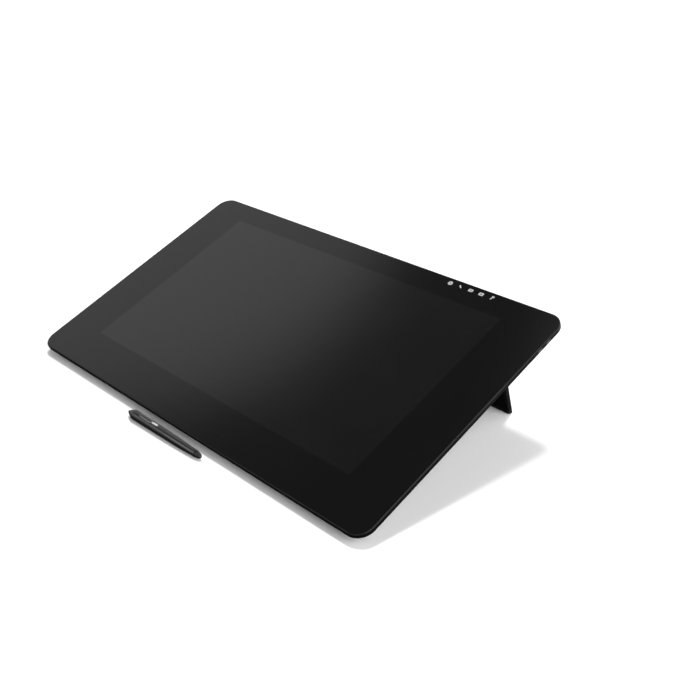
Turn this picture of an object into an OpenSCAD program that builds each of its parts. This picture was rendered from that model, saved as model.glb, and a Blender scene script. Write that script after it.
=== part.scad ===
// Pen drawing tablet: a 24-inch class pen display standing on its two fold-out legs, with its pen
// lying on the table in front of it. Millimetres, +Z up, +X along the front edge to the user's
// right, +Y away from the user. The origin is the middle of the front rubber strip's contact face.

/* [Tablet] */
// Width of the tablet along its front edge
tablet_w = 677; // [640:1:720]
// Depth of the tablet along its sloping face
tablet_d = 394; // [380:1:410]
// Radius of the four corners seen from above
corner_r = 22; // [16:1:26]
// Angle of the drawing surface above the table
tilt = 21.3; // [18:0.1:23]
// Height of the front top edge above the table
edge_z = 14; // [13:0.5:18]
// Thickness of the cover glass
glass_t = 1.8; // [1.2:0.1:1.8]
// Depth of the rim below the drawing surface
rim_t = 9; // [9:0.1:9.5]

/* [Display window] */
// Width of the clear window that the picture shows through
window_w = 526; // [500:1:530]
// Depth of the clear window along the slope
window_d = 295; // [280:1:300]
// Distance from the front edge to the middle of the window
window_y = 209; // [205:1:212]

/* [Back] */
// Depth of the flat back below the drawing surface
back_t = 26; // [26:0.1:27]
// Depth of the raised middle of the back, which holds the sockets
spine_t = 34; // [33:0.5:36]
// Hole spacing of the square mounting pattern
vesa_pitch = 100; // [100:1:100]
// Radius of the mounting screws' holes
vesa_r = 2; // [1.7:0.1:2.2]

/* [Legs] */
// Lean of an open leg from the vertical, foot towards the rear
leg_lean = 18; // [15:0.5:20]
// Width of each leg
leg_w = 64; // [50:1:66]
// Thickness of each leg
leg_t = 8; // [6:0.1:8]
// Distance from the tablet's middle to the middle of a leg
leg_x = 245; // [244:1:246]
// Distance of the leg's pin from the front edge, up the slope
pin_y = 330.8; // [329:0.1:332]
// Radius of the leg's pin
pin_r = 2.5; // [2:0.1:2.6]

/* [Pen] */
// Length of the pen from nib to eraser
pen_len = 157; // [155:1:160]
// Radius of the pen at the widest place of its grip
grip_r = 6.95; // [6.7:0.05:7.1]
// Radius of the pen's body where it starts to narrow towards its tail
body_r = 6.15; // [6:0.05:6.3]
// Radius of the pen's body at its tail
tail_r = 4.6; // [4.4:0.05:4.8]
// Turn of the pen about its own length, which brings the side switch towards the user
pen_roll = 4; // [0:1:40]
// Turn of the lying pen out of line with the tablet's front edge
pen_turn = 0.7; // [0:0.1:3]

/* [Hidden] */
$fn = 48;
skin = 0.02;                // thickness of the slabs that the curved shells are drawn between
wall = 2.2;                 // wall of the back cover
gap = 0.3;                  // clearance round pieces that move
fit = 0.05;                 // running clearance of a shaft in its hole
seam = 0.1;                 // gap between fixed parts that lie side by side
strip_y = 40;               // horizontal distance from the front top edge to the origin
ledge = 9;                  // width of the rim's ledge under the glass
chassis_z = -9.8;           // top of the chassis plate
chassis_t = 2.2;
cavity_floor = wall - back_t;

pin_z = leg_t / 2 - back_t; // the pin's place below the drawing surface
pin_world_y = pin_y * cos(tilt) - pin_z * sin(tilt) - strip_y;
pin_world_z = edge_z + pin_y * sin(tilt) + pin_z * cos(tilt);
shoe_h = 5;                 // height of the rubber shoe on a leg's foot
pocket_w = 78;
pocket_y0 = 206;
pocket_y1 = pin_y + leg_t / 2 + 0.4;
pocket_z = -16;

bay_w = 192;                // socket bay in the raised middle, open to the rear
bay_y = 296;
bay_z = -17;
spine_w = 260;
spine_y0 = 150;
spine_y1 = 352;
vesa_y = 215;

fan_x = 162;
fan_y = 211;
fan_z = -23.2;
fan_h = 10.4;
fan_w = 62;
screw_xy = [[291, 55], [291, 200], [291, 342], [140, 50], [150, 342]];
bracket_screw_x = [-20, 20]; // from the leg's middle
bracket_screw_y = 319;
board_screw_x = [-110, 0, 110];
board_screw_y = [168, 278];
stack_z = -glass_t - 0.25;  // top of the pieces under the glass and its border print
back_levels = [[-rim_t - skin, 3.3], [-14, 10], [-20, 22], [1.5 - back_t, 34], [-back_t, 42]];
heat_y = 220;
pipe_reach = 130.5;         // from the middle to each end of the heat pipe
fan_axle_r = 2;
port_z = -29;               // the face of the port board that the sockets stand on
video_ports = [[-45, 15, 5.6], [-12, 16.6, 5.8], [20, 8.9, 3.3]]; // middle, width and height
inlet_x = 58;
hole_play = 0.15;           // play of a rear socket in its hole
usb_y = [335.2, 352.8];
usb_z = -3.9;
jack_y = 317;
jack_z = -4.3;
button_x = 250;
button_z = -4.1;

grip_u = 19.5;              // the widest place of the pen
body_u = 90;                // where the pen starts to narrow towards its tail
barrel_u = 85;              // where the grip ends and the barrel shows
cap_u = 145.5;              // where the barrel ends
taper = (grip_r - body_r) / (body_u - grip_u);
pen_pitch = atan(taper);
pen_x = -83;
pen_y = -15.6 - strip_y;
pen_z = (grip_r + grip_u * taper) * cos(pen_pitch) + 0.03;
switch_u0 = 30;
switch_u1 = 55;
switch_pivot = [42.5, 0, 4.6];
pivot_r = 0.6;
accent_u1 = 67.3;
switch_w = 5.2;
accent_w = 3.4;
tube_r = 5.2;               // outside of the barrel's tube inside the grip
bore_r = 3.6;               // inside of the barrel's tube
axle_len = 6.6;             // length of the switch's axle

// ---- Helpers ----

// The tablet's own frame: x along the front edge, y up the slope, z out of the drawing surface.
module on_tablet() translate([0, -strip_y, edge_z]) rotate([tilt, 0, 0]) children();

// The pen's own frame: x from nib to eraser, z towards the side switch.
module on_pen() translate([pen_x, pen_y, pen_z]) rotate([0, 0, pen_turn])
    rotate([0, pen_pitch, 0]) rotate([pen_roll, 0, 0]) children();

// Both sides of the tablet, drawn for the right and mirrored for the left.
module both() for (side = [0, 1]) mirror([side, 0, 0]) children();

// The places of the cover's screws, the main board's screws and a bracket's screws, at one depth.
module at_cover_screws(z) both() for (p = screw_xy) translate([p[0], p[1], z]) children();

module at_board_screws(z) for (x = board_screw_x, y = board_screw_y) translate([x, y, z]) children();

module at_bracket_screws(z) for (x = bracket_screw_x)
    translate([leg_x + x, bracket_screw_y, z]) children();

// A block given by two opposite corners.
module block(low, high) translate(low) cube(high - low);

// A flat rectangle with round corners, centred.
module round_rect(w, d, r) {
    square([w - 2 * r, d], center = true);
    square([w, d - 2 * r], center = true);
    for (x = [-1, 1], y = [-1, 1]) translate([x * (w / 2 - r), y * (d / 2 - r)]) circle(r);
}

// A straight-sided plate with round corners between two depths.
module plate(w, d, r, z0, z1) translate([0, 0, z0]) linear_extrude(z1 - z0) round_rect(w, d, r);

// The tablet's outline moved inwards, as a plate between two depths.
module outline_plate(inset, z0, z1) translate([0, tablet_d / 2, 0])
    plate(tablet_w - 2 * inset, tablet_d - 2 * inset, max(corner_r - inset, 5), z0, z1);

// The display window's outline moved outwards, as a plate between two depths.
module window_plate(grow, z0, z1) translate([0, window_y, 0])
    plate(window_w + 2 * grow, window_d + 2 * grow, 2, z0, z1);

// A shell drawn through a list of [depth, inset] levels.
module shell(w, d, r, levels) hull() for (level = levels)
    plate(w - 2 * level[1], d - 2 * level[1], max(r - level[1], 5), level[0], level[0] + skin);

module tablet_shell(levels) translate([0, tablet_d / 2, 0])
    shell(tablet_w, tablet_d, corner_r, levels);

module spine_shell(levels) translate([0, (spine_y0 + spine_y1) / 2, 0])
    shell(spine_w, spine_y1 - spine_y0, 14, levels);

// A round bar along +X.
module bar_x(r, length) rotate([0, 90, 0]) cylinder(r = r, h = length);

// A slot with round ends, lying in X and cut through Y.
module slot_y(w, h, length) rotate([-90, 0, 0]) linear_extrude(length) round_rect(w, h, h / 2 - 0.01);

// A slot with round ends, lying in Y and cut through X.
module slot_x(w, h, length) rotate([90, 0, 90]) linear_extrude(length) round_rect(w, h, h / 2 - 0.01);

// ---- Front of the tablet ----

module cover_glass() color([0.08, 0.08, 0.085]) on_tablet()
    outline_plate(1.1, -glass_t, 0);

module rim_holes() {
    both() for (y = usb_y) translate([tablet_w / 2 - 12, y, usb_z]) slot_x(9.3, 3.6, 14);
    translate([-tablet_w / 2 - 1, jack_y, jack_z]) bar_x(2.35, 12);
    translate([button_x, tablet_d - 10, button_z]) slot_y(12.6, 3.6, 12);
}

// The rim's cross-section, in distance from the middle of the corner's curve and depth.
module rim_section() polygon([for (p = [[0.8, 0], [1, 0], [1, -glass_t - 0.05],
    [ledge, -glass_t - 0.05], [ledge, -rim_t], [3, -rim_t], [0, 3 - rim_t], [0, -0.8]])
    [corner_r - p[0], p[1]]]);

module rim_corner(x, y, turn) translate([x, y, 0]) rotate(turn) rotate_extrude(angle = 90)
    rim_section();

module rim_bar(x, y, turn, length) translate([x, y, 0]) rotate(turn) rotate([90, 0, 0])
    translate([0, 0, -length / 2]) linear_extrude(length) rim_section();

module rim_ring() {
    far_x = tablet_w / 2 - corner_r;
    far_y = tablet_d / 2 - corner_r;
    translate([0, tablet_d / 2, 0]) for (half = [0, 180]) rotate(half) {
        rim_bar(far_x, 0, 0, 2 * far_y);
        rim_corner(far_x, far_y, 0);
        rim_bar(0, far_y, 90, 2 * far_x);
        rim_corner(-far_x, far_y, 90);
    }
}

module rim_frame() color([0.13, 0.13, 0.135]) on_tablet() difference() {
    rim_ring();
    rim_holes();
}

module border_mask() color([0.03, 0.03, 0.03]) on_tablet() difference() {
    outline_plate(ledge + 1, -2, -glass_t - 0.02);
    window_plate(0, -3, 0);
}

// Five touch-key marks: dot, pen stroke, two frames and a tool.
module key_mark(i) {
    if (i == 0) difference() {
        circle(3.6);
        circle(1);
    }
    if (i == 1) rotate(-45) polygon([[-3.4, -0.9], [2.2, -0.9], [3.6, 0], [2.2, 0.9], [-3.4, 0.9]]);
    if (i == 2 || i == 3) difference() {
        round_rect(7.4, i == 2 ? 5 : 5.4, 1.2);
        round_rect(i == 2 ? 4.6 : 3.2, i == 2 ? 1 : 1.6, 0.4);
    }
    if (i == 4) rotate(72) difference() {
        union() {
            square([6.2, 1.5], center = true);
            translate([2.6, 0]) circle(2);
        }
        translate([4, 0]) square([2.2, 1.3], center = true);
    }
}

module key_marks() color([0.8, 0.8, 0.8]) on_tablet() for (i = [0:4])
    translate([157.3 + 17.6 * i, tablet_d - 10, 0]) linear_extrude(0.08) key_mark(i);

module touch_key_board() color([0.05, 0.2, 0.1]) on_tablet()
    block([148, 373, stack_z - 1.2], [240, 384, stack_z]);

module lcd_panel() color([0.1, 0.1, 0.11]) on_tablet() window_plate(2, -3.5, stack_z);

module light_guide() color([0.9, 0.92, 0.95]) on_tablet() difference() {
    window_plate(2, -6.7, -3.7);
    translate([0, window_y - window_d / 2 - 2, 0]) block([-265, -1, -7], [265, 2.6, 0]);
}

module led_bar() color([0.95, 0.95, 0.85]) on_tablet() translate([0, window_y - window_d / 2, 0]) {
    block([-260, -1.8, -6.7], [260, -0.8, -3.8]);
    for (i = [-12:12]) block([i * 21 - 1.5, -0.8, -6], [i * 21 + 1.5, 0.2, -4.6]);
}

module backlight_tray() color([0.75, 0.76, 0.78]) on_tablet() difference() {
    window_plate(5, -8, -2.1);
    window_plate(4, -7, 0);
}

module panel_gasket() color([0.06, 0.06, 0.06]) on_tablet() difference() {
    window_plate(12, -8, stack_z);
    window_plate(6, -9, 0);
}

module digitizer_board() color([0.1, 0.3, 0.15]) on_tablet() window_plate(10, -9, -8.1);

module shield_sheet() color([0.6, 0.6, 0.62]) on_tablet() window_plate(9, -9.6, -9.2);

// ---- Frame and electronics ----

module chassis_plate() color([0.5, 0.5, 0.52]) on_tablet() difference() {
    union() {
        outline_plate(ledge + 5, chassis_z - chassis_t, chassis_z);
        at_cover_screws(-20.8) cylinder(r = 4, h = 10);
        at_board_screws(-16.2) cylinder(r = 3, h = 5);
        both() at_bracket_screws(-13.6) cylinder(r = 3.4, h = 3);
    }
    at_cover_screws(-21) cylinder(r = 1.5, h = 9);
    both() at_bracket_screws(-14) cylinder(r = 1.35, h = 3.6);
    for (x = [-60, 60]) block([x - 14, 286, -13], [x + 14, 290, -9]);
    both() for (y = [75, 130]) translate([160, y, -13]) linear_extrude(5) round_rect(150, 34, 6);
}

module ribbon_cables() color([0.75, 0.5, 0.2]) on_tablet() for (x = [-60, 60]) {
    block([x - 11, 287.5, -14.6], [x + 11, 287.8, -9.7]);
    block([x - 11, 270, -14.9], [x + 11, 287.8, -14.6]);
}

module main_board() color([0.05, 0.25, 0.12]) on_tablet() difference() {
    block([-124, 160, -17.8], [124, 286, -16.2]);
    at_board_screws(-18) cylinder(r = 1.6, h = 3);
}

module board_chips() color([0.12, 0.12, 0.13]) on_tablet() {
    block([-16, 204, -18.6], [16, 236, -17.8]);
    for (x = [-52, 52], y = [200, 240]) block([x - 6, y - 8, -19], [x + 6, y + 8, -17.8]);
    for (x = [-96, -84, 84, 96]) translate([x, 262, -23]) cylinder(r = 4, h = 5.2);
    for (x = [-60, 60]) block([x - 13, 268, -16.2], [x + 13, 275, -15]);
}

// Fins under a base plate, with room for the heat pipe between the middle ones.
module heat_sink() color([0.7, 0.7, 0.72]) on_tablet() {
    block([-34, heat_y - 24, -20.2], [34, heat_y + 24, -18.7]);
    for (i = [-4:4]) if (i != 0) translate([0, heat_y + 5.6 * i, 0])
        block([-34, -0.6, -28], [34, 0.6, -20.2]);
}

// A flattened pipe from the heat sink to both fans.
module heat_pipe() color([0.75, 0.42, 0.25]) on_tablet() translate([-pipe_reach, heat_y, -21.9])
    slot_x(8, 3.2, 2 * pipe_reach);

module fan_housing() color([0.1, 0.1, 0.1]) on_tablet() translate([fan_x, fan_y, fan_z]) {
    difference() {
        plate(fan_w, fan_w, 6, 0, fan_h);
        plate(fan_w - 5, fan_w - 5, 4, 1.2, fan_h - 1.2);
        translate([0, 0, -1]) cylinder(r = 21, h = 3);
        block([-24, 20, 1.2], [24, 40, fan_h - 1.2]);
    }
    translate([0, 0, 3]) cylinder(r = fan_axle_r, h = fan_h - 4);
}

module fan_housing_right() fan_housing();
module fan_housing_left() mirror([1, 0, 0]) fan_housing();

module fan_rotor() color([0.2, 0.2, 0.2]) on_tablet() translate([fan_x, fan_y, fan_z]) {
    difference() {
        union() {
            translate([0, 0, 1.7]) cylinder(r = 10, h = 6.8);
            for (i = [0:14]) rotate(24 * i) translate([9, 0, 1.9]) rotate(18)
                block([0, -0.4, 0], [16, 0.4, 6]);
        }
        translate([0, 0, 2.8]) cylinder(r = fan_axle_r + fit, h = 8);
    }
}

module fan_rotor_right() fan_rotor();
module fan_rotor_left() mirror([1, 0, 0]) fan_rotor();

module port_board() color([0.05, 0.25, 0.12]) on_tablet() block([-80, 272, port_z - 1.6], [80, 293, port_z]);

// A metal socket facing the rear, with a tongue inside.
module rear_socket(x, w, h) translate([x, 0, port_z + h / 2]) {
    difference() {
        block([-w / 2, 283, -h / 2], [w / 2, bay_y + 0.4, h / 2]);
        block([0.5 - w / 2, 285, 0.5 - h / 2], [w / 2 - 0.5, bay_y + 1, h / 2 - 0.5]);
    }
    block([-w * 0.36, 284, -0.4], [w * 0.36, bay_y - 0.6, 0.5]);
}

module video_sockets() color([0.72, 0.73, 0.75]) on_tablet() for (s = video_ports)
    rear_socket(s[0], s[1], s[2]);

module power_inlet() color([0.1, 0.1, 0.1]) on_tablet() translate([inlet_x, 0, port_z + 4.8]) {
    difference() {
        block([-5, 282, -4.8], [5, bay_y + 0.4, 4.6]);
        translate([0, 285, 0]) rotate([-90, 0, 0]) cylinder(r = 2.9, h = 14);
    }
    translate([0, 284, 0]) rotate([-90, 0, 0]) cylinder(r = 1, h = 11.5);
}

// The rear holes for the sockets, a little larger than the sockets.
module socket_holes() {
    for (s = concat(video_ports, [[inlet_x, 10, 9.4]])) translate([s[0], 290, port_z])
        block([-s[1] / 2 - hole_play, 0, -hole_play], [s[1] / 2 + hole_play, 10, s[2] + hole_play]);
}

module side_board() color([0.05, 0.25, 0.12]) on_tablet()
    block([304, 309, -7.3], [329.2, 361, -6.2]);

module side_board_right() side_board();
module side_board_left() mirror([1, 0, 0]) side_board();

module usb_socket() {
    difference() {
        translate([327, 0, usb_z]) slot_x(8.9, 3.2, 11.4);
        translate([328, 0, usb_z]) slot_x(8.3, 2.6, 12);
    }
    block([327.5, -3.3, usb_z - 0.35], [337.6, 3.3, usb_z + 0.35]);
}

module usb_sockets() color([0.7, 0.7, 0.72]) on_tablet() both()
    for (y = usb_y) translate([0, y, 0]) usb_socket();

module headphone_jack() color([0.1, 0.1, 0.1]) on_tablet() difference() {
    union() {
        block([-329.2, jack_y - 3.4, -6.1], [-320, jack_y + 3.4, -2.2]);
        translate([-338.3, jack_y, jack_z]) bar_x(2.25, 9.1);
    }
    translate([-339, jack_y, jack_z]) bar_x(1.8, 15);
}

module power_button() color([0.16, 0.16, 0.165]) on_tablet() translate([button_x, 0, button_z]) {
    translate([0, tablet_d - 5, 0]) slot_y(12, 3, 5.3);
    translate([0, tablet_d - 8, 0]) rotate([-90, 0, 0]) cylinder(r = 1, h = 4);
}

module power_switch() color([0.6, 0.6, 0.6]) on_tablet() translate([button_x, 0, button_z])
    block([-3, tablet_d - 15, -1.7], [3, tablet_d - 9.2, 1.7]);

// ---- Back of the tablet ----

module back_solid() {
    tablet_shell(back_levels);
    spine_shell([[1 - back_t, 0], [1 - spine_t, 4.8], [-spine_t, 6]]);
}

module back_hollow() {
    tablet_shell([[-rim_t + 1, ledge], [-12, 12.4], [-18, 24.4], [3.6 - back_t, 36.2],
        [cavity_floor, 44.4]]);
    spine_shell([[wall - back_t + 1, 2.6], [wall - spine_t, 8.4]]);
}

// The space that a folded leg lies in, grown by a wall's thickness or not at all.
module pocket(grow, low) block(
    [leg_x - pocket_w / 2 - grow, pocket_y0 - grow, low],
    [leg_x + pocket_w / 2 + grow, pocket_y1 + grow, pocket_z + grow]);

module bay(grow) block([-bay_w / 2 - grow, bay_y - grow, -40], [bay_w / 2 + grow, 400, bay_z + grow]);

module vents() {
    both() for (i = [-5:5]) translate([fan_x + i * 4.6, fan_y, -30]) linear_extrude(10)
        round_rect(2.4, 42 - abs(i) * 3, 1.1);
    both() for (i = [0:17]) block([112 + i * 6, 360, -30], [114.4 + i * 6, 376, -12]);
}

module at_vesa(z) for (x = [-1, 1], y = [-1, 1])
    translate([x * vesa_pitch / 2, vesa_y + y * vesa_pitch / 2, z]) children();

module back_cover() color([0.1, 0.1, 0.105]) on_tablet() difference() {
    union() {
        difference() {
            back_solid();
            back_hollow();
        }
        at_cover_screws(1 - back_t) cylinder(r = 5.5, h = 4);
        at_vesa(1 - spine_t) cylinder(r = 6, h = 9);
    }
    both() pocket(wall + seam, -40);
    bay(wall + seam);
    vents();
    at_cover_screws(-back_t - 1) {
        cylinder(r = 3.1, h = 3.5);
        cylinder(r = 1.7, h = 8);
    }
    at_vesa(-spine_t - 1) cylinder(r = 3.6, h = 9.2);
    at_vesa(-spine_t) cylinder(r = 2.8, h = 12);
}

// The well in the back that a leg folds into.
module leg_well() color([0.09, 0.09, 0.095]) on_tablet() difference() {
    pocket(wall, -back_t);
    pocket(0, -40);
    at_bracket_screws(-17) cylinder(r = 1.6, h = 5);
}

module leg_well_right() leg_well();
module leg_well_left() mirror([1, 0, 0]) leg_well();

// A plate across the tablet's middle, drawn from its side view.
module side_profile(x0, x1, points) rotate([90, 0, 90]) translate([0, 0, x0])
    linear_extrude(x1 - x0) polygon(points);

// The tub behind the cable cover: a front wall with the sockets' holes, two sides and a ceiling.
module socket_tub() color([0.09, 0.09, 0.095]) on_tablet() difference() {
    side_profile(-bay_w / 2 - wall, bay_w / 2 + wall, [
        [bay_y - wall, -spine_t], [spine_y1 - 6, -spine_t], [spine_y1 - 4.8, 1 - spine_t],
        [spine_y1 - 0.6, -back_t], [spine_y1, -back_t], [tablet_d - 34, 1.5 - back_t],
        [tablet_d - 22, -20], [tablet_d - 11.6, bay_z + wall], [bay_y - wall, bay_z + wall]]);
    bay(0);
    socket_holes();
    both() block([bay_w / 2 - 1, bay_y + 4, -30.6], [bay_w / 2 + 1.3, 400, -28.4]);
}

module vesa_inserts() color([0.8, 0.62, 0.3]) on_tablet() at_vesa(-spine_t) difference() {
    cylinder(r = 3.58, h = 8);
    translate([0, 0, -1]) cylinder(r = vesa_r, h = 10);
}

module cover_screws() color([0.3, 0.3, 0.31]) on_tablet() at_cover_screws(0.15 - back_t) {
    difference() {
        cylinder(r = 2.9, h = 2.2);
        translate([0, 0, -1]) cylinder(r = 1.2, h = 2.1, $fn = 6);
    }
    translate([0, 0, 1.8]) cylinder(r = 1.45, h = 10.2);
}

module bracket_screws() color([0.6, 0.6, 0.62]) on_tablet() both() at_bracket_screws(-17.5) {
    cylinder(r = 2.6, h = 0.8);
    cylinder(r = 1.3, h = 7);
}

module front_strip() color([0.05, 0.05, 0.05]) difference() {
    intersection() {
        on_tablet() translate([0, 31.2, 0]) plate(460, 14, 6.9, -40, -18);
        block([-300, -30, 0], [300, 30, 30]);
    }
    on_tablet() tablet_shell(back_levels);
}

module rear_feet() color([0.05, 0.05, 0.05]) on_tablet() both()
    translate([111, 330, 0]) plate(14, 26, 6.9, -spine_t - 2.5, -spine_t);

// The removable cover of the socket bay. It slides off to the rear on two tongues.
module cable_cover() color([0.1, 0.1, 0.105]) on_tablet() {
    difference() {
        side_profile(gap - bay_w / 2, bay_w / 2 - gap, [
            [bay_y + 0.4, -spine_t], [spine_y1 - 6, -spine_t], [spine_y1 - 4.8, 1 - spine_t],
            [spine_y1 + 0.4, -back_t], [360, 1.5 - back_t], [371, -20.4], [370, -18.6],
            [359, -22.4], [349.4, -23.8], [344.4, -31.8], [bay_y + 0.4, -31.8]]);
        translate([0, 380, -30]) linear_extrude(30) round_rect(76, 40, 6);
    }
    both() block([bay_w / 2 - 2.5, bay_y + 5, -32], [bay_w / 2 - gap, 342, -28.8]);
    both() block([bay_w / 2 - 2.5, bay_y + 5, -30.2], [bay_w / 2 + 1, 342, -28.8]);
}

// ---- Legs ----

module leg_bracket() color([0.55, 0.55, 0.57]) on_tablet() difference() {
    union() {
        block([leg_x - 38, 312, -17.5], [leg_x + 38, pocket_y1 - 0.4, pocket_z - fit]);
        for (x = [-36.5, 33.5]) translate([leg_x + x, pin_y, 0]) {
            block([0, -3.9, pin_z], [3, 3.9, -17]);
            translate([0, 0, pin_z]) bar_x(3.9, 3);
        }
    }
    at_bracket_screws(-18) {
        cylinder(r = 2.7, h = 1.4);
        cylinder(r = 1.5, h = 3);
    }
    translate([leg_x - 40, pin_y, pin_z]) bar_x(pin_r + 0.02, 80);
}

module leg_bracket_right() leg_bracket();
module leg_bracket_left() mirror([1, 0, 0]) leg_bracket();

module leg_pin() color([0.75, 0.75, 0.77]) on_tablet() translate([leg_x - 37.5, pin_y, pin_z]) {
    bar_x(pin_r, 75);
    translate([74.6, 0, 0]) bar_x(3.4, 1.4);
}

module leg_pin_right() leg_pin();
module leg_pin_left() mirror([1, 0, 0]) leg_pin();

// The leg's full outline, long enough to reach through the table.
module leg_blank() translate([leg_x, pin_world_y, pin_world_z]) rotate([leg_lean, 0, 0]) {
    translate([0, 0, -130]) linear_extrude(130) polygon([
        [1 - leg_w / 2, -leg_t / 2], [leg_w / 2 - 1, -leg_t / 2], [leg_w / 2, 1 - leg_t / 2],
        [leg_w / 2, leg_t / 2 - 1], [leg_w / 2 - 1, leg_t / 2], [1 - leg_w / 2, leg_t / 2],
        [-leg_w / 2, leg_t / 2 - 1], [-leg_w / 2, 1 - leg_t / 2]]);
    translate([-leg_w / 2, 0, 0]) bar_x(leg_t / 2, leg_w);
}

module in_leg() translate([leg_x, pin_world_y, pin_world_z]) rotate([leg_lean, 0, 0]) children();

module leg() color([0.09, 0.09, 0.095]) difference() {
    intersection() {
        leg_blank();
        block([0, 0, shoe_h], [400, 400, 200]);
    }
    in_leg() translate([-50, 0, 0]) bar_x(pin_r + fit, 100);
    in_leg() block([leg_w / 2 - 46, -leg_t, -104], [leg_w / 2 - 18, 1.5 - leg_t / 2, -16]);
    in_leg() block([6 - leg_w / 2, -1.6, -140], [leg_w / 2 - 6, 1.6, -106]);
}

module leg_right() leg();
module leg_left() mirror([1, 0, 0]) leg();

module leg_shoe() color([0.05, 0.05, 0.05]) {
    intersection() {
        leg_blank();
        block([0, 0, 0], [400, 400, shoe_h]);
    }
    intersection() {
        in_leg() block([6.1 - leg_w / 2, -1.5, -125], [leg_w / 2 - 6.1, 1.5, -107]);
        block([0, 0, 1], [400, 400, 60]);
    }
}

module leg_shoe_right() leg_shoe();
module leg_shoe_left() mirror([1, 0, 0]) leg_shoe();

// ---- Pen ----

// A solid of revolution about the pen's length, from points of [distance from nib, radius].
module turned(points) rotate([0, 90, 0]) rotate_extrude() polygon([for (p = points) [p[1], p[0]]]);

function pen_r(u) = u < body_u ? body_r + (body_u - u) * 0.01
    : body_r - (body_r - tail_r) * pow((u - body_u) / (cap_u - body_u), 1.5);

module switch_slot(grow) translate([(switch_u0 + switch_u1) / 2, 0, 0]) linear_extrude(20)
    round_rect(switch_u1 - switch_u0 + 2 * grow, switch_w + 2 * grow, 2.4 + grow);

module accent_slot(grow) translate([(switch_u1 + accent_u1) / 2 + 0.5, 0, 0]) linear_extrude(20)
    round_rect(accent_u1 - switch_u1 - 1 + 2 * grow, accent_w + 2 * grow, 1.2 + grow);

// The side switch's own axle, lying across the pen.
module switch_axle(r, length) translate(switch_pivot) rotate([90, 0, 0])
    cylinder(r = r, h = length, center = true);

module pen_barrel() color([0.1, 0.1, 0.105]) on_pen() difference() {
    turned([[16, bore_r], [16, tube_r], [barrel_u, tube_r], [barrel_u, pen_r(barrel_u)],
        for (u = [body_u:11.1:cap_u]) [u, pen_r(u)], [cap_u, bore_r]]);
    switch_slot(0.35);
    switch_axle(pivot_r + fit, axle_len + 2 * gap);
}

module pen_grip() color([0.07, 0.07, 0.075]) on_pen() difference() {
    turned([[15.4, tube_r + fit], [15.4, 6.8], [17, 6.92], [grip_u, grip_r], [24, 6.88],
        [30, pen_r(30)], [barrel_u - gap, pen_r(barrel_u)], [barrel_u - gap, tube_r + fit]]);
    switch_slot(0.35);
    accent_slot(0.02);
    switch_axle(pivot_r + fit, axle_len + 2 * gap);
}

module pen_cone() color([0.09, 0.09, 0.095]) on_pen()
    turned([[2.2, 1.15], [2.2, 1.6], [3.2, 2.15], [5, 3.05], [7.5, 4.25], [10, 5.35], [12.5, 6.3],
        [14.2, 6.7], [15.2, 6.79], [15.2, 3.2], [10, 2.2], [6, 1.15]]);

module pen_nib() color([0.15, 0.15, 0.15]) on_pen()
    turned([[0, 0], [0.12, 0.4], [0.5, 0.72], [1.2, 0.85], [30.4, 0.85], [30.4, 0]]);

module pen_sensor() color([0.6, 0.6, 0.62]) on_pen() difference() {
    turned([[31, 0], [31, 3.2], [40, 3.2], [40, 0]]);
    block([30, -4, 2], [41, 4, 5]);
}

module pen_coil() color([0.7, 0.4, 0.2]) on_pen()
    turned([[16.6, 1.1], [16.6, 3.1], [18, 3.1], [18, 3.4], [28.6, 3.4], [28.6, 3.1], [30, 3.1],
        [30, 1.1]]);

module pen_board() color([0.05, 0.25, 0.12]) on_pen() block([41, -2.8, -0.5], [126, 2.8, 0.5]);

// The rocker on the grip's upper side, with a low waist at its pivot.
module pen_switch() color([0.14, 0.14, 0.145]) on_pen() {
    difference() {
        intersection() {
            switch_slot(0);
            turned([[switch_u0 - 1, 3.9], [switch_u0 - 1, 6.95], [32.5, 7.4], [38.5, 7.3],
                [switch_pivot[0], 7.15], [47, 7.2], [52, 7.05], [switch_u1 + 1, 6.6], [switch_u1 + 1, 3.9]]);
        }
        translate([switch_pivot[0], -4, 8.05]) rotate([-90, 0, 0]) cylinder(r = 1.1, h = 8);
    }
    switch_axle(pivot_r, axle_len);
}

module pen_accent() color([0.85, 0.86, 0.88]) on_pen() intersection() {
    accent_slot(0);
    turned([[switch_u1, tube_r + seam], [switch_u1, pen_r(switch_u1) + seam],
        [accent_u1 + 1, pen_r(accent_u1) + seam], [accent_u1 + 1, tube_r + seam]]);
}

module pen_cap() color([0.12, 0.12, 0.125]) on_pen()
    turned([[136, 1.6], [136, bore_r - fit], [cap_u + 0.1, bore_r - fit], [cap_u + 0.1, tail_r - 0.02],
        [cap_u + 2, tail_r - 0.15], [cap_u + 2, 1.6]]);

module pen_eraser() color([0.11, 0.11, 0.115]) on_pen()
    turned([[138, 0], [138, 1.5], [cap_u + 3, 1.5], [cap_u + 3, tail_r - 0.25], [151, 3.98],
        [153.5, 3.35], [155.3, 2.6], [156.5, 1.7], [pen_len, 0.9], [pen_len, 0]]);

// ---- Nodes ----

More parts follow.
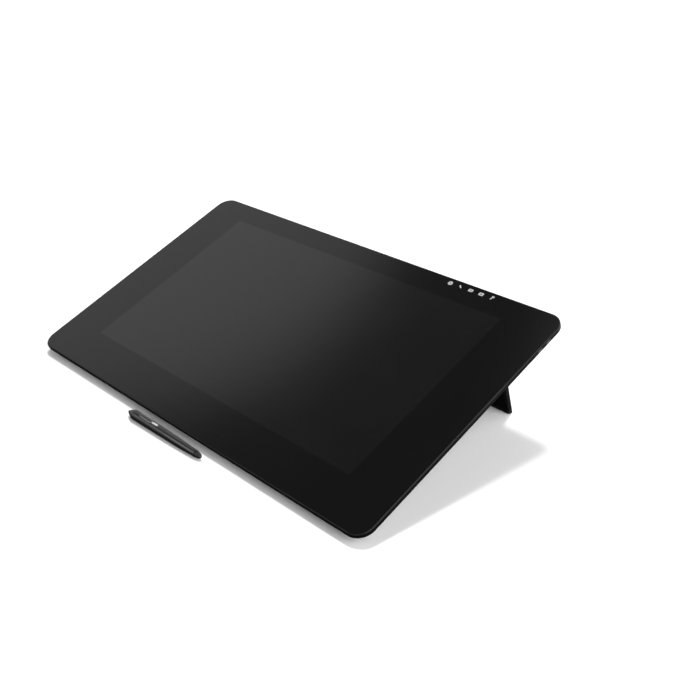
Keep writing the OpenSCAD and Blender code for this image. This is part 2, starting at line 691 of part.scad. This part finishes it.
cover_glass();
rim_frame();
border_mask();
key_marks();
touch_key_board();
lcd_panel();
light_guide();
led_bar();
backlight_tray();
panel_gasket();
digitizer_board();
shield_sheet();
chassis_plate();
ribbon_cables();
main_board();
board_chips();
heat_sink();
heat_pipe();
fan_housing_left();
fan_housing_right();
fan_rotor_left();
fan_rotor_right();
port_board();
video_sockets();
power_inlet();
side_board_left();
side_board_right();
usb_sockets();
headphone_jack();
power_button();
power_switch();
back_cover();
leg_well_left();
leg_well_right();
socket_tub();
vesa_inserts();
cover_screws();
bracket_screws();
front_strip();
rear_feet();
cable_cover();
leg_bracket_left();
leg_bracket_right();
leg_pin_left();
leg_pin_right();
leg_left();
leg_right();
leg_shoe_left();
leg_shoe_right();
pen_barrel();
pen_grip();
pen_cone();
pen_nib();
pen_sensor();
pen_coil();
pen_board();
pen_switch();
pen_accent();
pen_cap();
pen_eraser();
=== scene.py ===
"""A pen display on its folding legs with its pen beside it, on a pale floor in soft studio light."""
import math

import bpy
import bmesh
from mathutils import Matrix, Vector


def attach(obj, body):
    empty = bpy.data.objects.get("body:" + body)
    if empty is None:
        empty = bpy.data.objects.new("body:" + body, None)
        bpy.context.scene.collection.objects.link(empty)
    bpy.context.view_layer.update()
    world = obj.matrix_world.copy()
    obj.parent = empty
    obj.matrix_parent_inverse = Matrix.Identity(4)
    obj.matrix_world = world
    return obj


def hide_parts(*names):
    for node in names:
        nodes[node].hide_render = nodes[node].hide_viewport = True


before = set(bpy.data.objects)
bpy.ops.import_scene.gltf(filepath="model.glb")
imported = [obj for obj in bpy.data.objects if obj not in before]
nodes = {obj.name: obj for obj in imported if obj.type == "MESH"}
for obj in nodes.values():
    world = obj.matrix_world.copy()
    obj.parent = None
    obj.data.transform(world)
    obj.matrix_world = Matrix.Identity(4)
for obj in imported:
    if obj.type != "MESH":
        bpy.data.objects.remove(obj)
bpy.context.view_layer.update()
scene = bpy.context.scene

# ---- Sizes that the CAD part is drawn to, in metres and radians ----

TILT = math.radians(21.3)
STRIP_Y = 0.040
EDGE_Z = 0.014
TABLET_W = 0.677
TABLET_D = 0.394
CORNER_R = 0.022
GLASS_T = 0.0018
GLASS_INSET = 0.0011
GLASS_GROUND = 0.0004
WINDOW_W = 0.526
WINDOW_D = 0.295
WINDOW_Y = 0.209
WINDOW_R = 0.002

# Depths below the glass's top between which the rim's colour turns paler towards its chamfer: a painted
# highlight where the chamfer catches the light.
CHAMFER_BOTTOM = 0.00095
CHAMFER_START = 0.00075

# The pen lies on two rings, one on its grip and one on its barrel. U runs along it from its tip.
PEN_GRIP_R = 0.00695
PEN_GRIP_U = 0.0195
PEN_BARREL_R = 0.00615
PEN_BARREL_U = 0.090
PEN_TAPER = (PEN_GRIP_R - PEN_BARREL_R) / (PEN_BARREL_U - PEN_GRIP_U)
PEN_PITCH = math.atan(PEN_TAPER)
PEN_TURN = math.radians(0.7)
PEN_ROLL = math.radians(4)
PEN_X = -0.083
PEN_Y = -0.0556
PEN_GAP = 0.00003
PEN_Z = (PEN_GRIP_R + PEN_GRIP_U * PEN_TAPER) * math.cos(PEN_PITCH) + PEN_GAP

# The rocker's outline in the pen's own frame, and how far inside its edge the pale line, a painted
# highlight, starts and ends.
SWITCH_SIZE = (0.025, 0.0052)
SWITCH_R = 0.0024
SWITCH_U = 0.0425
SWITCH_RIM_IN = 0.0006
SWITCH_RIM_OUT = 0.00035

TO_TABLET = Matrix.Rotation(-TILT, 4, "X") @ Matrix.Translation((0, STRIP_Y, -EDGE_Z))
FROM_TABLET = TO_TABLET.inverted()
FROM_PEN = (Matrix.Translation((PEN_X, PEN_Y, PEN_Z)) @ Matrix.Rotation(PEN_TURN, 4, "Z")
            @ Matrix.Rotation(PEN_PITCH, 4, "Y") @ Matrix.Rotation(PEN_ROLL, 4, "X"))


# ---- Materials ----

BRICK_INPUTS = ("Scale", "Mortar Size", "Brick Width", "Row Height")
RANGE_INPUTS = ("From Min", "From Max", "To Min", "To Max")
NOISE_SPAN = (0.3, 0.7)    # where nearly all of a noise lies


def feed(tree, node, *values):
    """Links the sockets and sets the numbers among the values, in the order of the node's inputs."""
    for socket, value in zip(node.inputs, values):
        if hasattr(value, "is_linked"):
            tree.links.new(value, socket)
        else:
            socket.default_value = value


class Surface:
    """A Principled material with short names for the nodes that its detail is made of."""

    def __init__(self, name, rough=0.5, metallic=0.0, specular=0.5, coat=0.0, coat_rough=0.1,
                 turn=0.0, stretch=(1, 1, 1)):
        self.mat = bpy.data.materials.new(name)
        self.mat.use_nodes = True
        self.tree = self.mat.node_tree
        self.shader = self.tree.nodes["Principled BSDF"]
        self.set(self.shader, "Roughness", rough)
        self.set(self.shader, "Metallic", metallic)
        self.set(self.shader, "Specular IOR Level", specular)
        self.set(self.shader, "Coat Weight", coat)
        self.set(self.shader, "Coat Roughness", coat_rough)
        place = self.tree.nodes.new("ShaderNodeTexCoord")
        self.coords = self.tree.nodes.new("ShaderNodeMapping")
        self.coords.inputs["Rotation"].default_value = (turn, 0, 0)
        self.coords.inputs["Scale"].default_value = stretch
        self.link(place.outputs["Object"], self.coords.inputs["Vector"])

    def set(self, node, socket, value):
        node.inputs[socket].default_value = value

    def link(self, a, b):
        self.tree.links.new(a, b)

    def noise(self, scale, detail=3.0, rough=0.55):
        n = self.tree.nodes.new("ShaderNodeTexNoise")
        self.link(self.coords.outputs[0], n.inputs["Vector"])
        self.set(n, "Scale", scale)
        self.set(n, "Detail", detail)
        self.set(n, "Roughness", rough)
        return n.outputs["Fac"]

    def cells(self, scale, feature="F1"):
        n = self.tree.nodes.new("ShaderNodeTexVoronoi")
        n.feature = feature
        self.link(self.coords.outputs[0], n.inputs["Vector"])
        self.set(n, "Scale", scale)
        return n.outputs["Distance"]

    def wave(self, scale, direction):
        n = self.tree.nodes.new("ShaderNodeTexWave")
        n.bands_direction = direction
        self.link(self.coords.outputs[0], n.inputs["Vector"])
        self.set(n, "Scale", scale)
        self.set(n, "Distortion", 0)
        return n.outputs["Fac"]

    def bricks(self, *sizes):
        n = self.tree.nodes.new("ShaderNodeTexBrick")
        self.link(self.coords.outputs[0], n.inputs["Vector"])
        for socket, size in zip(BRICK_INPUTS, sizes):
            self.set(n, socket, size)
        return n.outputs["Fac"]

    def ranged(self, value, *limits):
        """Maps a value from the first two limits to the last two."""
        n = self.tree.nodes.new("ShaderNodeMapRange")
        self.link(value, n.inputs["Value"])
        for socket, limit in zip(RANGE_INPUTS, limits):
            self.set(n, socket, limit)
        return n.outputs["Result"]

    def math(self, operation, a, b):
        n = self.tree.nodes.new("ShaderNodeMath")
        n.operation = operation
        feed(self.tree, n, a, b)
        return n.outputs[0]

    def vector(self, operation, a, b=(0, 0, 0)):
        n = self.tree.nodes.new("ShaderNodeVectorMath")
        n.operation = operation
        feed(self.tree, n, a, b)
        return n

    def mix(self, a, b, share):
        """The first value in the given share and the second in the rest."""
        return self.math("ADD", self.math("MULTIPLY", a, share), self.math("MULTIPLY", b, 1 - share))

    def colour(self, value, *colours, stops=NOISE_SPAN):
        """Spreads two or more colours evenly between two levels of a value."""
        n = self.tree.nodes.new("ShaderNodeValToRGB")
        self.link(value, n.inputs["Fac"])
        ramp = n.color_ramp.elements
        while len(ramp) < len(colours):
            ramp.new(0.5)
        start, end = stops
        for i, (element, colour) in enumerate(zip(ramp, colours)):
            element.position = start + (end - start) * i / (len(colours) - 1)
            element.color = (*colour, 1)
        self.link(n.outputs["Color"], self.shader.inputs["Base Color"])

    def shine(self, value, low, high):
        """Lets the roughness follow a noise from low to high."""
        self.link(self.ranged(value, *NOISE_SPAN, low, high), self.shader.inputs["Roughness"])

    def relief(self, value, depth):
        n = self.tree.nodes.new("ShaderNodeBump")
        self.link(value, n.inputs["Height"])
        self.set(n, "Distance", depth)
        self.set(n, "Strength", 1)
        self.link(n.outputs["Normal"], self.shader.inputs["Normal"])


def grey(level, warm=0.0):
    """A grey that leans to red where warm is above 0, and to blue where it is below."""
    return (level * (1 + warm), level, level * (1 - warm))


def etched(name, base, specular, rough):
    """Dark glass with the fine etch that keeps a drawing surface from glaring."""
    s = Surface(name, rough=rough, specular=specular, turn=-TILT)
    etch = s.noise(2600, 2)
    haze = s.noise(9, 4)
    s.colour(haze, grey(base * 0.93), grey(base * 1.07, -0.02))
    s.shine(haze, rough - 0.012, rough + 0.012)
    s.relief(etch, 0.0000012)
    return s.mat


def moulded(name, base, rough, grain=1100, depth=0.00002, specular=0.45, coat=0.0):
    """Moulded plastic with a spark-eroded grain and faint flow marks."""
    s = Surface(name, specular=specular, coat=coat, coat_rough=0.2, turn=-TILT)
    fine = s.noise(grain, 3)
    pits = s.cells(grain * 0.8)
    flow = s.noise(14, 4)
    s.colour(s.mix(fine, flow, 0.5), grey(base * 0.85), grey(base * 1.15))
    s.shine(flow, rough - 0.04, rough + 0.05)
    s.relief(s.math("ADD", fine, s.math("MULTIPLY", pits, 0.5)), depth)
    return s.mat


def blasted(name, base, rough, metallic=0.9, grain=1500, depth=0.000012, tint=0.0, specular=0.5):
    """Metal with a bead-blasted, dyed surface."""
    s = Surface(name, metallic=metallic, specular=specular, turn=-TILT)
    fine = s.noise(grain, 2)
    cloud = s.noise(22, 4)
    s.colour(s.mix(fine, cloud, 0.4), grey(base * 0.88, tint), grey(base * 1.12, tint))
    s.shine(cloud, rough - 0.05, rough + 0.05)
    s.relief(fine, depth)
    return s.mat


def rim_metal(name, base, chamfer_highlight_base, rough):
    """Black dyed metal whose chamfer beside the glass is painted a little paler, as a painted highlight.
    """
    s = Surface(name, specular=0.15, turn=-TILT)
    fine = s.noise(1500, 2)
    split = s.tree.nodes.new("ShaderNodeSeparateXYZ")
    s.link(s.coords.outputs[0], split.inputs[0])
    glass_top = -TO_TABLET.to_translation().z
    # A band near the glass's top is painted paler: a painted highlight along the chamfer.
    painted_highlight = s.ranged(split.outputs["Z"], glass_top - CHAMFER_BOTTOM, glass_top - CHAMFER_START, 0, 1)
    s.colour(s.mix(painted_highlight, fine, 0.85), grey(base), grey(chamfer_highlight_base), stops=(0.05, 0.95))
    s.shine(fine, rough - 0.05, rough + 0.05)
    s.relief(fine, 0.000012)
    return s.mat


def switch_cap(name, base, rim_highlight_base, rough):
    """The rocker's dark plastic, with a pale line along its rim that is a painted highlight."""
    s = Surface(name, specular=0.6)
    back = FROM_PEN.inverted()
    s.set(s.coords, "Rotation", back.to_euler())
    s.set(s.coords, "Location", back.translation)
    fine = s.noise(2400, 3)
    half = [side / 2 - SWITCH_R for side in SWITCH_SIZE]
    centred = s.vector("SUBTRACT", s.coords.outputs[0], (SWITCH_U, 0, 0)).outputs[0]
    folded = s.vector("ABSOLUTE", centred).outputs[0]
    past = s.vector("SUBTRACT", folded, (*half, 1)).outputs[0]
    corner = s.vector("MAXIMUM", past).outputs[0]
    reach = s.vector("LENGTH", corner).outputs["Value"]
    # A pale line is painted along the rocker's rim as a highlight.
    painted_rim_highlight = s.ranged(reach, SWITCH_R - SWITCH_RIM_IN, SWITCH_R - SWITCH_RIM_OUT, 0, 1)
    s.colour(s.mix(painted_rim_highlight, fine, 0.9), grey(base), grey(rim_highlight_base), stops=(0.1, 0.95))
    s.shine(fine, rough - 0.04, rough + 0.05)
    s.relief(fine, 0.000005)
    return s.mat


def brushed(name, colour, rough, stretch=(8, 400, 400), metallic=1.0):
    """Metal with fine lines drawn along X."""
    s = Surface(name, metallic=metallic, turn=-TILT, stretch=stretch)
    lines = s.noise(1.6, 4, 0.7)
    s.colour(lines, tuple(c * 0.8 for c in colour), colour, tuple(min(1, c * 1.1) for c in colour))
    s.shine(lines, rough - 0.06, rough + 0.08)
    s.relief(lines, 0.000008)
    return s.mat


def rubber(name, base, rough):
    """Dull rubber with a coarse grain and a little dust."""
    s = Surface(name, specular=0.3, turn=-TILT)
    fine = s.noise(700, 5, 0.7)
    dust = s.noise(60, 5)
    s.colour(dust, grey(base * 0.8), grey(base * 1.3))
    s.shine(fine, rough - 0.06, rough + 0.08)
    s.relief(fine, 0.00004)
    return s.mat


def circuit(name):
    """A circuit board: solder mask over copper tracks, with pads."""
    s = Surface(name, specular=0.5, coat=0.3, coat_rough=0.2, turn=-TILT)
    tracks = s.bricks(90, 0.06, 0.9, 0.12)
    pads = s.ranged(s.cells(300), 0.12, 0.16, 1, 0)
    s.colour(s.math("MAXIMUM", tracks, pads), (0.006, 0.045, 0.022), (0.02, 0.11, 0.05),
             (0.42, 0.34, 0.16), stops=(0.2, 0.95))
    s.shine(tracks, 0.42, 0.3)
    s.relief(tracks, 0.00004)
    return s.mat


def panel(name):
    """The display panel: a dark polariser over a fine pixel grid."""
    s = Surface(name, rough=0.18, specular=0.55, turn=-TILT)
    grid = s.math("MULTIPLY", s.wave(1200, "X"), s.wave(1200, "Y"))
    s.colour(grid, (0.006, 0.006, 0.008), (0.014, 0.013, 0.018))
    s.shine(s.noise(30, 3), 0.16, 0.22)
    s.relief(grid, 0.000002)
    return s.mat


def foam(name):
    """Dark closed-cell foam."""
    s = Surface(name, specular=0.2, turn=-TILT)
    bubbles = s.cells(1400)
    s.colour(bubbles, (0.012, 0.012, 0.012), (0.035, 0.035, 0.036))
    s.shine(bubbles, 0.85, 0.95)
    s.relief(bubbles, 0.0001)
    return s.mat


def foil(name):
    """Creased metal foil."""
    s = Surface(name, metallic=0.9, turn=-TILT)
    creases = s.cells(55, "DISTANCE_TO_EDGE")
    crumple = s.noise(90, 4)
    s.colour(crumple, (0.42, 0.43, 0.44), (0.62, 0.62, 0.63))
    s.shine(crumple, 0.25, 0.42)
    s.relief(s.math("ADD", creases, s.math("MULTIPLY", crumple, 0.3)), 0.00015)
    return s.mat


def flex(name):
    """Amber ribbon cable with its copper lines showing through."""
    s = Surface(name, coat=0.4, coat_rough=0.15, turn=-TILT)
    lines = s.wave(500, "X")
    s.colour(lines, (0.32, 0.12, 0.02), (0.62, 0.3, 0.08))
    s.shine(s.noise(80, 3), 0.3, 0.42)
    s.relief(lines, 0.00003)
    return s.mat


def cloudy(name, low, high, rough, grain=900, depth=0.00001):
    """A plain finish with small changes of tone and a fine grain."""
    s = Surface(name, turn=-TILT)
    cloud = s.noise(35, 4)
    fine = s.noise(grain, 3)
    s.colour(s.mix(cloud, fine, 0.6), low, high)
    s.shine(cloud, rough - 0.04, rough + 0.04)
    s.relief(fine, depth)
    return s.mat


def clear_light_guide(name):
    """Pale acrylic with the dots that let its light out."""
    s = Surface(name, rough=0.12, specular=0.5, turn=-TILT)
    dots = s.ranged(s.cells(700), 0.2, 0.3, 1, 0)
    s.colour(dots, (0.62, 0.68, 0.74), (0.9, 0.93, 0.95))
    s.shine(dots, 0.1, 0.4)
    s.relief(dots, 0.00002)
    return s.mat


LOOKS = {
    "etched_glass": (etched, dict(base=0.0032, specular=0.56, rough=0.13)),
    "etched_glass_display": (etched, dict(base=0.0047, specular=0.76, rough=0.13)),
    "rim_metal": (rim_metal, dict(base=0.003, chamfer_highlight_base=0.014, rough=0.51)),
    "black_print": (cloudy, dict(low=grey(0.006), high=grey(0.009), rough=0.5)),
    "key_print": (cloudy, dict(low=grey(0.42), high=grey(0.5), rough=0.5, grain=2500, depth=0.000004)),
    "board": (circuit, {}),
    "panel": (panel, {}),
    "clear_acrylic": (clear_light_guide, {}),
    "led_strip": (cloudy, dict(low=(0.75, 0.72, 0.5), high=(0.9, 0.88, 0.7), rough=0.35)),
    "sheet_metal": (brushed, dict(colour=(0.55, 0.56, 0.57), rough=0.34)),
    "foam": (foam, {}),
    "shield_foil": (foil, {}),
    "cast_metal": (blasted, dict(base=0.42, rough=0.5, metallic=0.85, grain=600, depth=0.00005)),
    "flex_film": (flex, {}),
    "chip_plastic": (cloudy, dict(low=grey(0.018), high=grey(0.028), rough=0.5, grain=1800)),
    "heat_metal": (brushed, dict(colour=(0.62, 0.63, 0.65), rough=0.32)),
    "copper": (blasted, dict(base=0.45, rough=0.33, metallic=1.0, tint=0.45)),
    "fan_plastic": (moulded, dict(base=0.02, rough=0.45)),
    "socket_metal": (brushed, dict(colour=(0.25, 0.25, 0.26), rough=0.38, stretch=(60, 60, 400),
                                   metallic=0.45)),
    "button_plastic": (moulded, dict(base=0.03, rough=0.42, grain=1600, depth=0.00001)),
    "back_plastic": (moulded, dict(base=0.026, rough=0.48, grain=950, depth=0.00003)),
    "insert_brass": (blasted, dict(base=0.5, rough=0.3, metallic=1.0, tint=0.3)),
    "screw_steel": (blasted, dict(base=0.12, rough=0.35, metallic=0.95)),
    "foot_rubber": (rubber, dict(base=0.013, rough=0.78)),
    "bracket_steel": (brushed, dict(colour=(0.42, 0.42, 0.43), rough=0.36)),
    "pin_steel": (brushed, dict(colour=(0.6, 0.6, 0.61), rough=0.22)),
    "leg_metal": (blasted, dict(base=0.006, rough=0.42, metallic=0.0, grain=900, depth=0.00002,
                                specular=0.15)),
    "pen_plastic": (moulded, dict(base=0.01, rough=0.28, grain=2200, depth=0.000003, specular=0.8,
                                  coat=0.7)),
    "pen_rubber": (moulded, dict(base=0.012, rough=0.3, grain=2600, depth=0.000005, specular=1.0)),
    "nib_plastic": (cloudy, dict(low=grey(0.03), high=grey(0.045), rough=0.45)),
    "switch_plastic": (switch_cap, dict(base=0.02, rim_highlight_base=0.3, rough=0.36)),
    "accent_metal": (brushed, dict(colour=(0.6, 0.6, 0.62), rough=0.25, stretch=(40, 600, 600),
                                   metallic=0.3)),
    "cap_plastic": (moulded, dict(base=0.012, rough=0.3, grain=2200, depth=0.000003, specular=0.6)),
    "eraser_plastic": (moulded, dict(base=0.012, rough=0.3, grain=2200, depth=0.000005, specular=0.8)),
}
MATERIALS = {name: maker(name, **values) for name, (maker, values) in LOOKS.items()}

for node in nodes.values():
    for slot in node.material_slots:
        slot.material = MATERIALS[slot.material.name.split(".")[0]]


# ---- The glass, with its display window ----

CORNER_STEPS = 14
WINDOW_STEPS = 4
GROUND_STEPS = 4
FLAT = 1e-6    # how far from the glass's top a face of it may lie


def corner_loop(w, d, r, steps):
    """Points round a rounded rectangle about the origin."""
    points = []
    for i, (sx, sy) in enumerate(((1, 1), (-1, 1), (-1, -1), (1, -1))):
        for k in range(steps + 1):
            a = math.pi / 2 * (i + k / steps)
            points.append((sx * (w / 2 - r) + r * math.cos(a), sy * (d / 2 - r) + r * math.sin(a)))
    return points


def loop_edges(bm, loop):
    """The edges between neighbours round a closed loop of vertices."""
    return [bm.edges.get((a, b)) for a, b in zip(loop, loop[1:] + loop[:1])]


def glass_sheet():
    """The cover glass, its top edge softly ground, in a border and a display part."""
    w = TABLET_W - 2 * GLASS_INSET
    d = TABLET_D - 2 * GLASS_INSET
    r = CORNER_R - GLASS_INSET
    levels = [(0, -GLASS_T)]
    for k in range(GROUND_STEPS + 1):
        a = math.pi / 2 * k / GROUND_STEPS
        levels.append((GLASS_GROUND * (1 - math.cos(a)), -GLASS_GROUND * (1 - math.sin(a))))
    bm = bmesh.new()
    rings = []
    for inset, z in levels:
        loop = corner_loop(w - 2 * inset, d - 2 * inset, r - inset, CORNER_STEPS)
        rings.append([bm.verts.new((x, y + TABLET_D / 2, z)) for x, y in loop])
    for low, high in zip(rings, rings[1:]):
        for i in range(len(low)):
            j = (i + 1) % len(low)
            bm.faces.new((low[i], low[j], high[j], high[i])).smooth = True
    bm.faces.new(list(reversed(rings[0])))
    outline = corner_loop(WINDOW_W, WINDOW_D, WINDOW_R, WINDOW_STEPS)
    window = [bm.verts.new((x, y + WINDOW_Y, 0)) for x, y in outline]
    bm.faces.new(window).material_index = 1
    border = loop_edges(bm, rings[-1]) + loop_edges(bm, window)
    bmesh.ops.triangle_fill(bm, edges=border, use_beauty=True)
    bm.normal_update()
    for face in bm.faces:
        if face.calc_center_median().z > -FLAT and face.normal.z < 0:
            face.normal_flip()
    bm.transform(FROM_TABLET)
    mesh = bpy.data.meshes.new("glass_sheet")
    bm.to_mesh(mesh)
    bm.free()
    piece = bpy.data.objects.new("glass_sheet", mesh)
    scene.collection.objects.link(piece)
    for name in ("etched_glass", "etched_glass_display"):
        mesh.materials.append(MATERIALS[name])
    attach(piece, "tablet")
    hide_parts("cover_glass")


glass_sheet()


# ---- Rounded edges on the drawn parts ----

ROUNDED = {"leg_left": 0.0006, "leg_right": 0.0006, "leg_shoe_left": 0.0006,
           "leg_shoe_right": 0.0006, "cable_cover": 0.0006, "rear_feet": 0.0004}
WELD_DISTANCE = 0.000002
FLAT_ANGLE = math.radians(0.5)
SHARP_ANGLE = math.radians(32)


def soften(name, width):
    """Rounds a node's sharp edges with modifiers, so that they catch the light."""
    node = nodes[name]
    weld = node.modifiers.new("weld", "WELD")
    weld.merge_threshold = WELD_DISTANCE
    flat = node.modifiers.new("flat", "DECIMATE")
    flat.decimate_type = "DISSOLVE"
    flat.angle_limit = FLAT_ANGLE
    edge = node.modifiers.new("edge", "BEVEL")
    edge.width = width
    edge.segments = 2
    edge.limit_method = "ANGLE"
    edge.angle_limit = SHARP_ANGLE
    edge.harden_normals = True
    edge.use_clamp_overlap = True


for name, width in ROUNDED.items():
    soften(name, width)


# ---- Floor, light and camera ----

FLOOR_REACH = 40

# A spot is a direction, a reach and the half width of its soft edge in degrees, and a level.
OVERHEAD = (-0.2, 0.28, 0.94)
WINDOW_SPOT = ((-0.849, 0.240, 0.470), 19.9, 3, 0.585)
LAMP_SPOT = ((-0.58, -0.60, 0.55), 8, 3, 3.0)
CEILING_SPOT = (OVERHEAD, 11, 9, 2.6)
HORIZON = (-6, 3)    # degrees between which the dim floor of the world meets its walls

CAMERA_LENS = 49.95
CAMERA_SENSOR = 36
CAMERA_PLACE = (0.9225, -0.6404, 0.6737)
CAMERA_TURN = (62.938, -0.063, 45.039)    # degrees


def make_floor():
    """A pale floor that takes shadows and doesn't light or mirror in the object."""
    mesh = bpy.data.meshes.new("floor")
    corners = [(x * FLOOR_REACH, y * FLOOR_REACH, 0) for x, y in ((-1, -1), (1, -1), (1, 1), (-1, 1))]
    mesh.from_pydata(corners, [], [(0, 1, 2, 3)])
    floor = bpy.data.objects.new("floor", mesh)
    scene.collection.objects.link(floor)
    s = Surface("floor_paint", rough=0.9, specular=0.1)
    s.colour(s.noise(3, 2), grey(0.93), grey(0.95))
    mesh.materials.append(s.mat)
    floor.visible_diffuse = False
    floor.visible_glossy = False


def make_world(wall, ceiling, below, wall_top, wall_edge, spots):
    """White walls up to an angle, round spots of light, a dim ceiling and a dim floor.

    The camera sees the background as white, and only reflections and shadows show the rest."""
    world = bpy.data.worlds.new("studio")
    scene.world = world
    world.use_nodes = True
    tree = world.node_tree

    def node(kind, operation, *values):
        n = tree.nodes.new(kind)
        n.operation = operation
        feed(tree, n, *values)
        return n

    def fade(angle, low, high, start, end):
        n = tree.nodes.new("ShaderNodeMapRange")
        n.interpolation_type = "SMOOTHSTEP"
        tree.links.new(angle, n.inputs["Value"])
        for socket, limit in zip(RANGE_INPUTS, (math.radians(low), math.radians(high), start, end)):
            n.inputs[socket].default_value = limit
        return n.outputs["Result"]

    place = tree.nodes.new("ShaderNodeTexCoord").outputs["Generated"]
    split = tree.nodes.new("ShaderNodeSeparateXYZ")
    tree.links.new(place, split.inputs[0])
    lift = node("ShaderNodeMath", "ARCSINE", split.outputs["Z"]).outputs[0]

    def disc(towards, reach, edge, level):
        facing = node("ShaderNodeVectorMath", "DOT_PRODUCT", place, Vector(towards).normalized())
        away = node("ShaderNodeMath", "ARCCOSINE", facing.outputs["Value"]).outputs[0]
        return fade(away, reach - edge, reach + edge, level, 0)

    lit = fade(lift, wall_top - wall_edge, wall_top + wall_edge, wall, ceiling)
    for spot in spots:
        lit = node("ShaderNodeMath", "MAXIMUM", lit, disc(*spot)).outputs[0]
    lit = node("ShaderNodeMath", "MULTIPLY", lit, fade(lift, *HORIZON, below, 1)).outputs[0]
    seen = tree.nodes.new("ShaderNodeLightPath").outputs["Is Camera Ray"]
    level = node("ShaderNodeMath", "MAXIMUM", lit, seen)
    background = tree.nodes["Background"]
    tree.links.new(level.outputs[0], background.inputs["Strength"])
    background.inputs["Color"].default_value = (1, 1, 1, 1)


def make_sun(name, towards, strength, spread, mirrored=True):
    """A soft sun. One that isn't mirrored leaves no glare on the glass."""
    light = bpy.data.lights.new(name, "SUN")
    light.energy = strength
    light.angle = math.radians(spread)
    lamp = bpy.data.objects.new(name, light)
    scene.collection.objects.link(lamp)
    lamp.visible_glossy = mirrored
    lamp.rotation_euler = Vector(towards).to_track_quat("Z", "Y").to_euler()


def make_camera():
    data = bpy.data.cameras.new("camera")
    data.lens = CAMERA_LENS
    data.sensor_width = CAMERA_SENSOR
    camera = bpy.data.objects.new("camera", data)
    scene.collection.objects.link(camera)
    camera.location = CAMERA_PLACE
    camera.rotation_euler = [math.radians(angle) for angle in CAMERA_TURN]
    scene.camera = camera


make_floor()
make_world(wall=0.585, ceiling=0.07, below=0.03, wall_top=33, wall_edge=3,
           spots=(WINDOW_SPOT, LAMP_SPOT, CEILING_SPOT))
make_sun("key", OVERHEAD, strength=2.0, spread=9, mirrored=False)
make_sun("fill", (0.9, -0.1, 0.44), strength=3.2, spread=70)
make_sun("rear", (0.25, 0.95, 0.05), strength=2.8, spread=50)
make_camera()
scene.view_settings.view_transform = "Standard"
